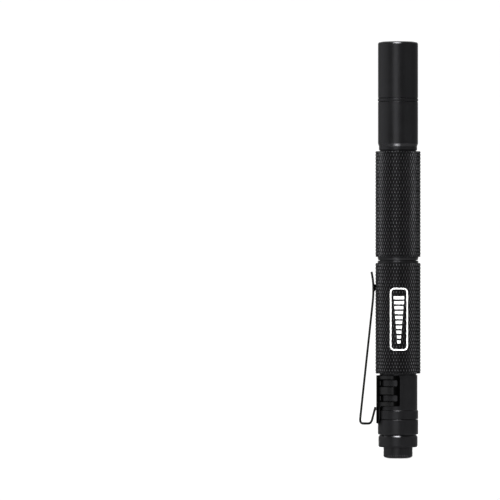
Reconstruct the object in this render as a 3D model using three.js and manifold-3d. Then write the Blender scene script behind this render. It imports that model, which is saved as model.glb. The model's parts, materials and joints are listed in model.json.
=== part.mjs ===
// A pocket ophthalmoscope in the form of a pen: a knurled body of two screwed barrels that holds two
// AAA cells, a push button in the tail, a spring clip on the side, and an optical nose under a cap.
// Millimetres. +Z runs from the button to the cap, along the pen. The origin is the centre of the
// button's flat end face. The clip is on the -X side and the instrument looks out towards -Y.
import * as THREE from "three";
import { mergeVertices } from "three/addons/utils/BufferGeometryUtils.js";
import Module from "manifold-3d";

const wasm = await Module();
wasm.setup();

// ---------- driving dimensions ----------

// Outside radii
const KNURL_RADIUS = 7.38;
const NECK_RADIUS = 6.65;
const SLEEVE_RADIUS = 6.55;
const TAIL_RADIUS = 6.6;
const BEZEL_RADIUS = 6.42;
const BUTTON_RADIUS = 4.78;

// Stations along the pen
const BEZEL_BOTTOM = 3.6;
const TAIL_CAP_BOTTOM = 7.75;
const REAR_BARREL_BOTTOM = 12.8;
const REAR_KNURL_BOTTOM = 27.7;
const REAR_KNURL_TOP = 63.85;
const MID_SEAM = 64.6;
const FRONT_KNURL_BOTTOM = 65.85;
const FRONT_KNURL_TOP = 100.4;
const HEAD_BOTTOM = 100.65;
const HEAD_TOP = 116.6;
const CAP_BOTTOM = 117.8;
const CAP_TOP = 136.3;

// AAA cells
const CELL_RADIUS = 5.25;
const CELL_LENGTH = 44.5;
const CELL_BORE = 5.5;
const REAR_CELL_BOTTOM = 13.5;
const CELL_CONTACT_GAP = 0.3;

// Screwed and pushed fits
const SEAM = 0.15;
const BEVEL = 0.35;
const SMALL_BEVEL = 0.2;
const SEAM_BEVEL = 0.1;
const TAIL_SPIGOT_RADIUS = 5.9;
const TAIL_SOCKET_RADIUS = 6.0;
const MID_SPIGOT_RADIUS = 6.0;
const MID_SOCKET_RADIUS = 6.1;
const HEAD_SPIGOT_RADIUS = 5.9;
const HEAD_SOCKET_RADIUS = 6.0;
const HEAD_BORE = 5.8;
const NOSE_RADIUS = 5.5;
const NOSE_BORE = 4.6;
const CAP_BORE = 5.9;

// Clip, a bent strip of spring steel
const CLIP_SHEET = 0.7;
const CLIP_WIDTH = 4.4;
const TONGUE_INNER = 6.66;
const TONGUE_OUTER = 7.02;
const COLLAR_INNER = 6.72;
const COLLAR_OUTER = 7.15;
const CLIP_SPLIT_GAP = 0.3;

// Facets
const OUTER_SEGMENTS = 36;
const INNER_SEGMENTS = 24;
const SMALL_SEGMENTS = 16;

// ---------- materials ----------

const FINISH = {
  blackAnodised: { color: 0x26272a, roughness: 0.42, metalness: 0.85 },
  blackSpringSteel: { color: 0x17181a, roughness: 0.35, metalness: 0.8 },
  springWire: { color: 0xb9bcc0, roughness: 0.25, metalness: 1 },
  brass: { color: 0xb5974f, roughness: 0.3, metalness: 1 },
  brightAluminium: { color: 0xd5d7da, roughness: 0.2, metalness: 1 },
  rubber: { color: 0x131313, roughness: 0.8, metalness: 0 },
  nylon: { color: 0xe8e4d8, roughness: 0.55, metalness: 0 },
  boardGreen: { color: 0x1d5b3a, roughness: 0.5, metalness: 0 },
  boardWhite: { color: 0xf1f1ec, roughness: 0.4, metalness: 0 },
  cellSleeve: { color: 0x3c5f86, roughness: 0.35, metalness: 0.3 },
  emitter: { color: 0xf2d65c, roughness: 0.3, metalness: 0 },
  glass: { color: 0xdfeaf0, roughness: 0.05, metalness: 0 },
  mirrorGlass: { color: 0xe9edf0, roughness: 0.03, metalness: 1 },
};

// ---------- shape helpers ----------

// Turns an outline about +Z. The outside and the inside are [radius, height] points from the bottom up;
// without an inside the piece is solid to the axis.
function turned(outside, inside = null, segments = OUTER_SEGMENTS) {
  const first = outside[0];
  const last = outside.at(-1);
  const outline = inside
    ? [...outside, ...inside.toReversed(), first]
    : [[0, first[1]], ...outside, [0, last[1]]];
  const points = outline
    .filter(([radius, height], index) => {
      const before = outline[index - 1];
      return !before || before[0] !== radius || before[1] !== height;
    })
    .map(([radius, height]) => new THREE.Vector2(radius, height));
  return new THREE.LatheGeometry(points, segments).rotateX(Math.PI / 2);
}

// A plain step of a turned outline, with a chamfer at each end where one is asked for.
function step(radius, bottom, top, bevelBelow = 0, bevelAbove = 0) {
  const points = [];
  if (bevelBelow > 0) points.push([radius - bevelBelow, bottom]);
  points.push([radius, bottom + bevelBelow], [radius, top - bevelAbove]);
  if (bevelAbove > 0) points.push([radius - bevelAbove, top]);
  return points;
}

// A groove cut outwards into a bore.
function boreGroove(bore, floor, bottom, top) {
  return [
    [bore, bottom],
    [floor, bottom],
    [floor, top],
    [bore, top],
  ];
}

function disc({ radius, thickness }, segments = INNER_SEGMENTS) {
  return turned(step(radius, 0, thickness), null, segments);
}

function washer({ inner, outer, thickness }) {
  return turned(step(outer, 0, thickness), step(inner, 0, thickness), INNER_SEGMENTS);
}

// Points of a spherical cap from its rim up to the axis.
function domePoints(rim, base, rise, steps) {
  const ballRadius = (rim * rim + rise * rise) / (2 * rise);
  const rimAngle = Math.asin(rim / ballRadius);
  return Array.from({ length: steps + 1 }, (_, index) => {
    const angle = rimAngle * (1 - index / steps);
    return [ballRadius * Math.sin(angle), base + rise - ballRadius * (1 - Math.cos(angle))];
  });
}

function ringSeal(centreRadius, wireRadius) {
  const wireSides = 5;
  return new THREE.TorusGeometry(centreRadius, wireRadius, wireSides, OUTER_SEGMENTS);
}

// A coil of round wire about +Z whose radius may taper from the bottom to the top.
class CoilCurve extends THREE.Curve {
  constructor({ bottomRadius, topRadius, bottom, top, turns }) {
    super();
    Object.assign(this, { bottomRadius, topRadius, bottom, top, turns });
  }

  getPoint(t, target = new THREE.Vector3()) {
    const radius = THREE.MathUtils.lerp(this.bottomRadius, this.topRadius, t);
    const angle = 2 * Math.PI * this.turns * t;
    const height = THREE.MathUtils.lerp(this.bottom, this.top, t);
    return target.set(radius * Math.cos(angle), radius * Math.sin(angle), height);
  }
}

function coil(curve, wireRadius) {
  const stepsPerTurn = 12;
  const section = new THREE.Shape().absarc(0, 0, wireRadius, 0, 2 * Math.PI);
  return new THREE.ExtrudeGeometry(section, {
    extrudePath: curve,
    steps: Math.round(curve.turns * stepsPerTurn),
    curveSegments: 3,
  });
}

// A block with an annular sector for its plan. Angles are measured from -X, the clip's side.
function sector(inner, outer, from, to, bottom, top) {
  const start = Math.PI + THREE.MathUtils.degToRad(from);
  const end = Math.PI + THREE.MathUtils.degToRad(to);
  const degreesPerFacet = 9;
  const plan = new THREE.Shape();
  plan.absarc(0, 0, outer, start, end, false);
  plan.absarc(0, 0, inner, end, start, true);
  return new THREE.ExtrudeGeometry(plan, {
    depth: top - bottom,
    bevelEnabled: false,
    curveSegments: Math.ceil((to - from) / degreesPerFacet / 2),
  }).translate(0, 0, bottom);
}

// A flat strip, CLIP_WIDTH wide across Y, that follows a path drawn in the XZ plane.
function bentStrip(path, divisions) {
  const centre = path.getPoints(divisions);
  const left = [];
  const right = [];
  centre.forEach((point, index) => {
    const before = centre[Math.max(index - 1, 0)];
    const after = centre[Math.min(index + 1, centre.length - 1)];
    const along = after.clone().sub(before).normalize();
    const across = new THREE.Vector2(-along.y, along.x).multiplyScalar(CLIP_SHEET / 2);
    left.push(point.clone().add(across));
    right.push(point.clone().sub(across));
  });
  const outline = new THREE.Shape([...left, ...right.reverse()]);
  return new THREE.ExtrudeGeometry(outline, { depth: CLIP_WIDTH, bevelEnabled: false })
    .rotateX(Math.PI / 2)
    .translate(0, CLIP_WIDTH / 2, 0);
}

// ---------- joining and cutting ----------

function solid(geometry) {
  const bare = (geometry.index ? geometry.toNonIndexed() : geometry.clone())
    .deleteAttribute("normal")
    .deleteAttribute("uv");
  const merged = mergeVertices(bare, 1e-3);
  const mesh = new wasm.Mesh({
    numProp: 3,
    vertProperties: merged.getAttribute("position").array,
    triVerts: new Uint32Array(merged.index.array),
  });
  return new wasm.Manifold(mesh);
}

function geometryOf(manifold) {
  const mesh = manifold.getMesh();
  const geometry = new THREE.BufferGeometry();
  geometry.setAttribute("position", new THREE.BufferAttribute(mesh.vertProperties, 3));
  geometry.setIndex(new THREE.BufferAttribute(mesh.triVerts, 1));
  const flat = geometry.toNonIndexed();
  flat.computeVertexNormals();
  return flat;
}

const joined = (...geometries) => geometries.map(solid).reduce((whole, piece) => whole.add(piece));
const cut = (whole, ...tools) => tools.map(solid).reduce((rest, tool) => rest.subtract(tool), whole);

// A cylinder that starts at a point and runs along a direction.
function rod(radius, length, start, direction, segments = INNER_SEGMENTS) {
  const turn = new THREE.Quaternion().setFromUnitVectors(new THREE.Vector3(0, 1, 0), direction);
  return new THREE.CylinderGeometry(radius, radius, length, segments)
    .translate(0, length / 2, 0)
    .applyQuaternion(turn)
    .translate(start.x, start.y, start.z);
}

// A mesh of the scene graph, moved up the pen by its height.
function piece(name, geometry, finish, height = 0) {
  const mesh = new THREE.Mesh(geometry, new THREE.MeshStandardMaterial(finish));
  mesh.name = name;
  mesh.position.z = height;
  return mesh;
}

function assembly(...children) {
  return new THREE.Group().add(...children);
}

const BACK = new THREE.Vector3(0, 1, 0);
const SIDE = new THREE.Vector3(1, 0, 0);

// ---------- push button ----------

function buttonCap() {
  const faceRadius = 3;
  const rimHeight = 0.75;
  const hollow = { radius: 4, floor: 1.8 };
  const flange = { radius: 5.35, bottom: 4.15, top: 4.85 };
  const outside = [
    [0, 0],
    [faceRadius, 0],
    [BUTTON_RADIUS - SMALL_BEVEL, rimHeight - SMALL_BEVEL],
    [BUTTON_RADIUS, rimHeight],
    [BUTTON_RADIUS, flange.bottom],
    ...step(flange.radius, flange.bottom, flange.top),
    [hollow.radius, flange.top],
    [hollow.radius, hollow.floor],
    [0, hollow.floor],
  ];
  return turned(outside);
}

function switchPlunger() {
  const base = { radius: 3.4, bottom: 2.1, top: 2.8 };
  const stem = { radius: 1.2, top: 7.9 };
  const outside = [...step(base.radius, base.bottom, base.top), ...step(stem.radius, base.top, stem.top)];
  return turned(outside, null, INNER_SEGMENTS);
}

// ---------- tail ----------

const BEZEL_TOP = 9.8;
const BEZEL_CAVITY = 5.45;

function switchBezel() {
  const lip = { radius: 4.95, top: 4 };
  const cone = { bottom: 6.95, top: 7.5, radius: 6.14 };
  const spigotRadius = 5.95;
  return turned(
    [
      ...step(BEZEL_RADIUS, BEZEL_BOTTOM, cone.bottom, BEVEL, 0),
      [cone.radius, cone.top],
      ...step(spigotRadius, cone.top, BEZEL_TOP),
    ],
    [...step(lip.radius, BEZEL_BOTTOM, lip.top), ...step(BEZEL_CAVITY, lip.top, BEZEL_TOP)],
  );
}

function tailCap() {
  const shoulder = REAR_BARREL_BOTTOM - SEAM;
  const socket = { radius: 6.05, top: 9.95 };
  const spigotTop = 15.6;
  const bore = 5.4;
  return turned(
    [
      ...step(TAIL_RADIUS, TAIL_CAP_BOTTOM, shoulder, SMALL_BEVEL, SEAM_BEVEL),
      ...step(TAIL_SPIGOT_RADIUS, shoulder, spigotTop),
    ],
    [...step(socket.radius, TAIL_CAP_BOTTOM, socket.top), ...step(bore, socket.top, spigotTop)],
  );
}

function switchHousing() {
  const wall = { radius: 5.2, bottom: 6.7, top: 11.6 };
  const stemHole = { radius: 1.5, top: 7.5 };
  const chamber = { radius: 3.5, top: 9.5 };
  const contactSeat = 4;
  return turned(
    step(wall.radius, wall.bottom, wall.top),
    [
      ...step(stemHole.radius, wall.bottom, stemHole.top),
      ...step(chamber.radius, stemHole.top, chamber.top),
      ...step(contactSeat, chamber.top, wall.top),
    ],
    INNER_SEGMENTS,
  );
}

// Between the plunger's foot and the housing.
const RETURN_SPRING = { bottomRadius: 2.2, topRadius: 2.2, bottom: 3.05, top: 6.45, turns: 4, wire: 0.2 };
// Between the switch contact and the rear cell's flat end.
const BATTERY_SPRING = { bottomRadius: 3.3, topRadius: 1.8, bottom: 10.3, top: 13.1, turns: 4, wire: 0.25 };
const SWITCH_CONTACT = { radius: 3.8, thickness: 0.4, height: 9.55 };
const SWITCH_RETAINER = { inner: 4.3, outer: 5.3, thickness: 0.85, height: 11.75 };

const spring = ({ wire, ...line }) => coil(new CoilCurve(line), wire);

// ---------- cells ----------

function cell() {
  const nub = { radius: 1.9, height: 0.8 };
  const shoulder = CELL_LENGTH - nub.height;
  return turned(
    [...step(CELL_RADIUS, 0, shoulder, BEVEL, BEVEL), ...step(nub.radius, shoulder, CELL_LENGTH)],
    null,
    INNER_SEGMENTS,
  );
}

// ---------- barrels ----------

const TAIL_SEAL = { groove: 6.3, bottom: 14, top: 14.5, centre: 6.12, wire: 0.14 };
const MID_SEAL = { groove: 6.4, bottom: 62.2, top: 62.8, centre: 6.22, wire: 0.15 };
const HEAD_SEAL = { groove: 6.3, bottom: 97.7, top: 98.3, centre: 6.1, wire: 0.15 };
const CAP_SEAL = { groove: 5.25, bottom: 118.6, top: 119.2, centre: 5.58, wire: 0.19 };

const sealHeight = (seal) => (seal.bottom + seal.top) / 2;

function rearBarrel() {
  const ring = { top: 15.75 };
  const recess = { radius: 6.35, top: 27.2 };
  const undercut = 6;
  const tailSocketTop = 15.9;
  const midSocketBottom = 56;
  return turned(
    [
      ...step(TAIL_RADIUS, REAR_BARREL_BOTTOM, ring.top, SEAM_BEVEL, SMALL_BEVEL),
      ...step(recess.radius, ring.top, recess.top),
      ...step(undercut, recess.top, REAR_KNURL_BOTTOM),
      ...step(KNURL_RADIUS, REAR_KNURL_BOTTOM, REAR_KNURL_TOP, SMALL_BEVEL, SMALL_BEVEL),
      ...step(NECK_RADIUS, REAR_KNURL_TOP, MID_SEAM, 0, SEAM_BEVEL),
    ],
    [
      [TAIL_SOCKET_RADIUS, REAR_BARREL_BOTTOM],
      ...boreGroove(TAIL_SOCKET_RADIUS, TAIL_SEAL.groove, TAIL_SEAL.bottom, TAIL_SEAL.top),
      [TAIL_SOCKET_RADIUS, tailSocketTop],
      ...step(CELL_BORE, tailSocketTop, midSocketBottom),
      [MID_SOCKET_RADIUS, midSocketBottom],
      ...boreGroove(MID_SOCKET_RADIUS, MID_SEAL.groove, MID_SEAL.bottom, MID_SEAL.top),
      [MID_SOCKET_RADIUS, MID_SEAM],
    ],
  );
}

function frontBarrel() {
  const spigotBottom = 56.6;
  const coneRadius = 6.45;
  const coneTop = 65.5;
  const headSocketBottom = 94.5;
  return turned(
    [
      ...step(MID_SPIGOT_RADIUS, spigotBottom, MID_SEAM + SEAM, SMALL_BEVEL, 0),
      [coneRadius, MID_SEAM + SEAM],
      [NECK_RADIUS, coneTop],
      [NECK_RADIUS, FRONT_KNURL_BOTTOM],
      ...step(KNURL_RADIUS, FRONT_KNURL_BOTTOM, FRONT_KNURL_TOP, SMALL_BEVEL, SMALL_BEVEL),
    ],
    [
      ...step(CELL_BORE, spigotBottom, headSocketBottom),
      [HEAD_SOCKET_RADIUS, headSocketBottom],
      ...boreGroove(HEAD_SOCKET_RADIUS, HEAD_SEAL.groove, HEAD_SEAL.bottom, HEAD_SEAL.top),
      [HEAD_SOCKET_RADIUS, FRONT_KNURL_TOP],
    ],
  );
}

// ---------- clip ----------

// [x, z] points of the sheet's middle line. The leg and the leaf meet in the U bend.
const U_BEND_HEIGHT = 11.35;
const U_BEND_MIDDLE = -10.4;
const LEG = { top: [-7.42, 16.7], knee: [-7.72, 15.5], bendStart: [-8.45, 12.7], corner: -8.8, bendEnd: -9.7 };
const LEAF = {
  bendStart: -11.3,
  corner: -12.5,
  bendEnd: [-12.36, 12.96],
  neck: [-8.3, 50.8],
  crest: [-7.85, 55.3],
  flare: [-8.25, 58.6],
  tip: [-8.65, 61],
};

function clipCollar() {
  const collar = { bottom: 17.05, top: 27.1, halfAngle: 95 };
  const windows = [
    { bottom: 18.7, top: 20.65 },
    { bottom: 23.6, top: 25.6 },
  ];
  const windowSpan = { from: 36, to: 88 };
  const tongue = { halfAngle: 34, bottom: 11.4 };
  const overlap = 1;
  const foot = { bottom: 15.75, top: 16.2, inner: -6.8, outer: -7.7 };

  const bands = sector(
    COLLAR_INNER,
    COLLAR_OUTER,
    -collar.halfAngle,
    collar.halfAngle,
    collar.bottom,
    collar.top,
  );
  const spine = sector(
    TONGUE_INNER,
    TONGUE_OUTER,
    -tongue.halfAngle,
    tongue.halfAngle,
    tongue.bottom,
    collar.top - CLIP_SHEET,
  );
  const openings = windows.flatMap(({ bottom, top }) =>
    [-1, 1].map((hand) => {
      const [from, to] = [hand * windowSpan.from, hand * windowSpan.to].sort((a, b) => a - b);
      return sector(COLLAR_INNER - overlap, COLLAR_OUTER + overlap, from, to, bottom, top);
    }),
  );
  const leg = new THREE.Path()
    .moveTo(...LEG.top)
    .lineTo(...LEG.knee)
    .lineTo(...LEG.bendStart)
    .quadraticCurveTo(LEG.corner, U_BEND_HEIGHT, LEG.bendEnd, U_BEND_HEIGHT)
    .lineTo(U_BEND_MIDDLE + CLIP_SPLIT_GAP / 2, U_BEND_HEIGHT);
  const bendDivisions = 5;
  const footBlock = new THREE.BoxGeometry(foot.inner - foot.outer, CLIP_WIDTH, foot.top - foot.bottom).translate(
    (foot.inner + foot.outer) / 2,
    0,
    (foot.top + foot.bottom) / 2,
  );
  const whole = joined(bands, spine, footBlock, bentStrip(leg, bendDivisions));
  return geometryOf(cut(whole, ...openings));
}

function clipLeaf() {
  const bump = { height: 55.8, face: -7.48, root: -7.95, tipRadius: 1.05, rootRadius: 1.25 };
  const path = new THREE.Path()
    .moveTo(U_BEND_MIDDLE - CLIP_SPLIT_GAP / 2, U_BEND_HEIGHT)
    .lineTo(LEAF.bendStart, U_BEND_HEIGHT)
    .quadraticCurveTo(LEAF.corner, U_BEND_HEIGHT, ...LEAF.bendEnd)
    .lineTo(...LEAF.neck)
    .quadraticCurveTo(...LEAF.crest, ...LEAF.flare)
    .lineTo(...LEAF.tip);
  const bendDivisions = 6;
  const bumpLength = bump.face - bump.root;
  const contact = new THREE.CylinderGeometry(bump.tipRadius, bump.rootRadius, bumpLength, SMALL_SEGMENTS)
    .rotateZ(-Math.PI / 2)
    .translate((bump.face + bump.root) / 2, 0, bump.height);
  return geometryOf(joined(bentStrip(path, bendDivisions), contact));
}

// ---------- head ----------

const PILL_BOTTOM = 103.4;
const PILL_TOP = 107.8;
const DRIVER_CONTACT = { radius: 1.8, thickness: 0.4, height: 103.15 };
const DRIVER_BOARD = { radius: 5.1, thickness: 1, height: 103.7 };
const LED_BOARD = { radius: 4.8, thickness: 1, height: 107.95 };
const EMITTER_HEIGHT = 109.05;
const REFLECTOR_HEIGHT = 109.1;
const CONDENSER = { radius: 5.5, edge: 0.7, rise: 1.6, height: 111.1 };

function headTube() {
  const spigotBottom = 95;
  const collar = { radius: 6.24, top: 101.95, coneTop: 102.9 };
  const boreStep = 103.15;
  const spigotBore = 5.45;
  return turned(
    [
      ...step(HEAD_SPIGOT_RADIUS, spigotBottom, HEAD_BOTTOM, SMALL_BEVEL, 0),
      ...step(collar.radius, HEAD_BOTTOM, collar.top, SMALL_BEVEL, 0),
      ...step(SLEEVE_RADIUS, collar.coneTop, HEAD_TOP, 0, SEAM_BEVEL),
    ],
    [...step(spigotBore, spigotBottom, boreStep), ...step(HEAD_BORE, boreStep, HEAD_TOP)],
  );
}

function ledHolder() {
  const radius = 5.7;
  const cavity = { radius: 5.35, top: 106.8 };
  const wireHole = 0.8;
  return turned(
    step(radius, PILL_BOTTOM, PILL_TOP),
    [...step(cavity.radius, PILL_BOTTOM, cavity.top), ...step(wireHole, cavity.top, PILL_TOP)],
    INNER_SEGMENTS,
  );
}

function ledEmitter() {
  const base = { radius: 1.7, height: 0.5 };
  const dome = { radius: 1.3, rise: 1.1, steps: 4 };
  return turned(
    [...step(base.radius, 0, base.height), ...domePoints(dome.radius, base.height, dome.rise, dome.steps)],
    null,
    SMALL_SEGMENTS,
  );
}

function reflector() {
  const height = 1.8;
  const outer = 5.6;
  const throat = 2.1;
  const mouth = 5.1;
  const bowlRise = 0.9;
  return turned(
    step(outer, 0, height),
    [
      [throat, 0],
      [(throat + mouth) / 2, bowlRise / 2],
      [mouth, height],
    ],
    INNER_SEGMENTS,
  );
}

// A plano-convex lens with a short cylindrical edge, flat side down.
function lens({ radius, edge, rise }) {
  const domeSteps = 5;
  return turned([[radius, 0], ...domePoints(radius, edge, rise, domeSteps)], null, INNER_SEGMENTS);
}

// ---------- nose ----------

const FLANGE = { radius: 6.6, bottom: 116.8, top: 117.6 };
const NOSE_BOTTOM = 113.8;
const NOSE_TOP = 132.9;
const MIRROR_HEIGHT = 124.6;
const SIGHT = { height: 128.1, radius: 1.1 };
const WINDOW = { height: 126.2, holeRadius: 2.7, radius: 2.5, thickness: 0.5, face: -4.6 };
const SIGHT_SEAT = { depth: 4.9, radius: 2.25, hole: 1.4 };
const SCREW = { height: 131.4, radius: 0.7, hole: 0.85, start: 4.45, thickness: 0.9 };
const APERTURE = { inner: 1.2, outer: 4.5, thickness: 0.5, height: 115 };
const PROJECTION_LENS = { radius: 4.5, edge: 0.6, rise: 1, height: 119 };
const LENS_RING = { inner: 3.9, outer: 4.5, thickness: 0.6, height: 120.3 };

function noseTube() {
  const spigotRadius = 5.65;
  const body = turned(
    [
      ...step(spigotRadius, NOSE_BOTTOM, FLANGE.bottom),
      ...step(FLANGE.radius, FLANGE.bottom, FLANGE.top, SEAM_BEVEL, SEAM_BEVEL),
      [NOSE_RADIUS, FLANGE.top],
      [NOSE_RADIUS, CAP_SEAL.bottom],
      [CAP_SEAL.groove, CAP_SEAL.bottom],
      [CAP_SEAL.groove, CAP_SEAL.top],
      [NOSE_RADIUS, CAP_SEAL.top],
      [NOSE_RADIUS, NOSE_TOP],
    ],
    step(NOSE_BORE, NOSE_BOTTOM, NOSE_TOP),
  );
  const outside = NOSE_RADIUS + 1;
  const inside = NOSE_BORE - 2;
  const windowHole = rod(
    WINDOW.holeRadius,
    outside - inside,
    new THREE.Vector3(0, -outside, WINDOW.height),
    BACK,
  );
  const sightHole = rod(
    SIGHT_SEAT.hole,
    outside - inside,
    new THREE.Vector3(0, inside, SIGHT.height),
    BACK,
  );
  const sightSeat = rod(
    SIGHT_SEAT.radius,
    outside - SIGHT_SEAT.depth,
    new THREE.Vector3(0, SIGHT_SEAT.depth, SIGHT.height),
    BACK,
  );
  const screwHole = rod(
    SCREW.hole,
    outside - inside,
    new THREE.Vector3(inside, 0, SCREW.height),
    SIDE,
    SMALL_SEGMENTS,
  );
  return geometryOf(cut(solid(body), windowHole, sightHole, sightSeat, screwHole));
}

function mirrorCarrier() {
  const plug = { radius: 4.4, bottom: 121.7, top: 133.05 };
  const flangeTop = 133.8;
  const faceOffset = 1.25;
  const wedge = { length: 30, depth: 12 };
  const body = turned([
    ...step(plug.radius, plug.bottom, plug.top),
    ...step(NOSE_RADIUS, plug.top, flangeTop, 0, SMALL_BEVEL),
  ]);
  // The block under the mirror's plane, which slopes up from the back to the front.
  const below = new THREE.BoxGeometry(wedge.length, wedge.length, wedge.depth)
    .translate(0, 0, -wedge.depth / 2)
    .rotateX(-Math.PI / 4)
    .translate(0, 0, MIRROR_HEIGHT + faceOffset);
  const sightBore = rod(
    SIGHT.radius,
    wedge.depth,
    new THREE.Vector3(0, -wedge.depth / 2, SIGHT.height),
    BACK,
  );
  return geometryOf(cut(solid(body), below, sightBore));
}

function mirror() {
  const plate = { radius: 2.6, thickness: 0.6 };
  const mesh = piece("mirror", disc(plate), FINISH.mirrorGlass, MIRROR_HEIGHT);
  mesh.rotation.x = -Math.PI / 4;
  return mesh;
}

function frontWindow() {
  const mesh = piece("front_window", disc(WINDOW), FINISH.glass, WINDOW.height);
  mesh.rotation.x = -Math.PI / 2;
  mesh.position.y = WINDOW.face;
  return mesh;
}

function sightRing() {
  const ring = { inner: 1.3, outer: 2.1, thickness: 0.4 };
  const lift = 0.05;
  const mesh = piece("sight_ring", washer(ring), FINISH.rubber, SIGHT.height);
  mesh.rotation.x = -Math.PI / 2;
  mesh.position.y = SIGHT_SEAT.depth + lift;
  return mesh;
}

function setScrew() {
  const shape = disc(SCREW, SMALL_SEGMENTS);
  const mesh = piece("carrier_set_screw", shape, FINISH.springWire, SCREW.height);
  mesh.rotation.y = Math.PI / 2;
  mesh.position.x = SCREW.start;
  return mesh;
}

function cap() {
  const ceiling = 135;
  const mouthBevel = 0.2;
  const shoulder = { radius: 6.3, below: 0.3 };
  const face = 5;
  const edgeBelow = 0.7;
  return turned([
    [CAP_BORE + mouthBevel, CAP_BOTTOM],
    ...step(SLEEVE_RADIUS, CAP_BOTTOM, CAP_TOP - edgeBelow, SEAM_BEVEL, 0),
    [shoulder.radius, CAP_TOP - shoulder.below],
    [face, CAP_TOP],
    [0, CAP_TOP],
    [0, ceiling],
    [CAP_BORE, ceiling],
    [CAP_BORE, CAP_BOTTOM + mouthBevel],
    [CAP_BORE + mouthBevel, CAP_BOTTOM],
  ]);
}

// ---------- the whole instrument ----------

const seal = (name, { centre, wire, ...groove }) =>
  piece(name, ringSeal(centre, wire), FINISH.rubber, sealHeight(groove));

const pushButton = assembly(
  piece("button_cap", buttonCap(), FINISH.blackAnodised),
  piece("switch_plunger", switchPlunger(), FINISH.nylon),
);

const tail = assembly(
  piece("switch_bezel", switchBezel(), FINISH.blackAnodised),
  piece("tail_cap", tailCap(), FINISH.blackAnodised),
  seal("tail_oring", TAIL_SEAL),
  piece("switch_housing", switchHousing(), FINISH.nylon),
  piece("return_spring", spring(RETURN_SPRING), FINISH.springWire),
  piece("switch_contact", disc(SWITCH_CONTACT), FINISH.brass, SWITCH_CONTACT.height),
  piece("switch_retainer", washer(SWITCH_RETAINER), FINISH.brass, SWITCH_RETAINER.height),
  piece("battery_spring", spring(BATTERY_SPRING), FINISH.springWire),
);

const clip = assembly(
  piece("clip_collar", clipCollar(), FINISH.blackSpringSteel),
  piece("clip_leaf", clipLeaf(), FINISH.blackSpringSteel),
);

const cells = assembly(
  piece("battery_rear", cell(), FINISH.cellSleeve),
  piece("battery_front", cell(), FINISH.cellSleeve, CELL_LENGTH + CELL_CONTACT_GAP),
);
cells.position.z = REAR_CELL_BOTTOM;

const rear = assembly(piece("rear_barrel", rearBarrel(), FINISH.blackAnodised), seal("mid_oring", MID_SEAL));

const front = assembly(
  piece("front_barrel", frontBarrel(), FINISH.blackAnodised),
  seal("head_oring", HEAD_SEAL),
);

const head = assembly(
  piece("head_tube", headTube(), FINISH.blackAnodised),
  piece("driver_contact", disc(DRIVER_CONTACT, SMALL_SEGMENTS), FINISH.brass, DRIVER_CONTACT.height),
  piece("driver_board", disc(DRIVER_BOARD), FINISH.boardGreen, DRIVER_BOARD.height),
  piece("led_holder", ledHolder(), FINISH.brass),
  piece("led_board", disc(LED_BOARD), FINISH.boardWhite, LED_BOARD.height),
  piece("led_emitter", ledEmitter(), FINISH.emitter, EMITTER_HEIGHT),
  piece("reflector", reflector(), FINISH.brightAluminium, REFLECTOR_HEIGHT),
  piece("condenser_lens", lens(CONDENSER), FINISH.glass, CONDENSER.height),
);

const nose = assembly(
  piece("nose_tube", noseTube(), FINISH.blackAnodised),
  piece("aperture_disc", washer(APERTURE), FINISH.blackAnodised, APERTURE.height),
  piece("projection_lens", lens(PROJECTION_LENS), FINISH.glass, PROJECTION_LENS.height),
  piece("lens_ring", washer(LENS_RING), FINISH.brass, LENS_RING.height),
  piece("mirror_carrier", mirrorCarrier(), FINISH.blackAnodised),
  mirror(),
  setScrew(),
  frontWindow(),
  sightRing(),
  seal("cap_oring", CAP_SEAL),
);

export default assembly(
  pushButton,
  tail,
  clip,
  cells,
  rear,
  front,
  head,
  nose,
  piece("cap", cap(), FINISH.blackAnodised),
);
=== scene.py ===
"""Looks of the pen ophthalmoscope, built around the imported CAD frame.

Lengths in this file are millimetres in the part's own frame, and `build` turns them into metres.
+Z runs from the button to the cap, the clip is on the -X side and the window looks out towards -Y.
"""

import json
import math
from collections import defaultdict

import bmesh
import bpy
import numpy as np
from mathutils import Matrix, Vector
from mathutils.geometry import delaunay_2d_cdt

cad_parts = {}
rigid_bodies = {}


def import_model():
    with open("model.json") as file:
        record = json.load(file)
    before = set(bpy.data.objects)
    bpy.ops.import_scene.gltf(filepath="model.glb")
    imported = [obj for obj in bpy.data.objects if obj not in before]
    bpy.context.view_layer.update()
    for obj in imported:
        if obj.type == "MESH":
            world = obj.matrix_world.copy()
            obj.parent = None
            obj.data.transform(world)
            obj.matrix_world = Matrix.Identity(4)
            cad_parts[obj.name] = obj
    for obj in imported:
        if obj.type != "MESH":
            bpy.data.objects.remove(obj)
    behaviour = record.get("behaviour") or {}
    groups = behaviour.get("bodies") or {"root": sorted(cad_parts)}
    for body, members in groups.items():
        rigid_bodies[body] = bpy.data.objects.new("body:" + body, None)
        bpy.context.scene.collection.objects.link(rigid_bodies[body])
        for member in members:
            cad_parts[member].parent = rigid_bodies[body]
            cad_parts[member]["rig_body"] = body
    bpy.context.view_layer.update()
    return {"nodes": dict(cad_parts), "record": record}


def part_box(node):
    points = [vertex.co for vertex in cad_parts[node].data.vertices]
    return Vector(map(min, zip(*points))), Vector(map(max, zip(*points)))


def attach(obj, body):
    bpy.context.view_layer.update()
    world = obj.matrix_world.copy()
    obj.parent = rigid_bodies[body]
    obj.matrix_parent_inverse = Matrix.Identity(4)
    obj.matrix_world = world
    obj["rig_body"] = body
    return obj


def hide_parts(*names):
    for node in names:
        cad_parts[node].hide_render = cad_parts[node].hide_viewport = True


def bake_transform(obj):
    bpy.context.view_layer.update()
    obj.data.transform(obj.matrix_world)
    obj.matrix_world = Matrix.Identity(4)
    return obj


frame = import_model()

MM = 0.001
TAU = 2 * math.pi
SLOT_OF = {part["node"]: part["material_slot"] for part in frame["record"]["subparts"]}

# ---------- facets and edges ----------

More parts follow.
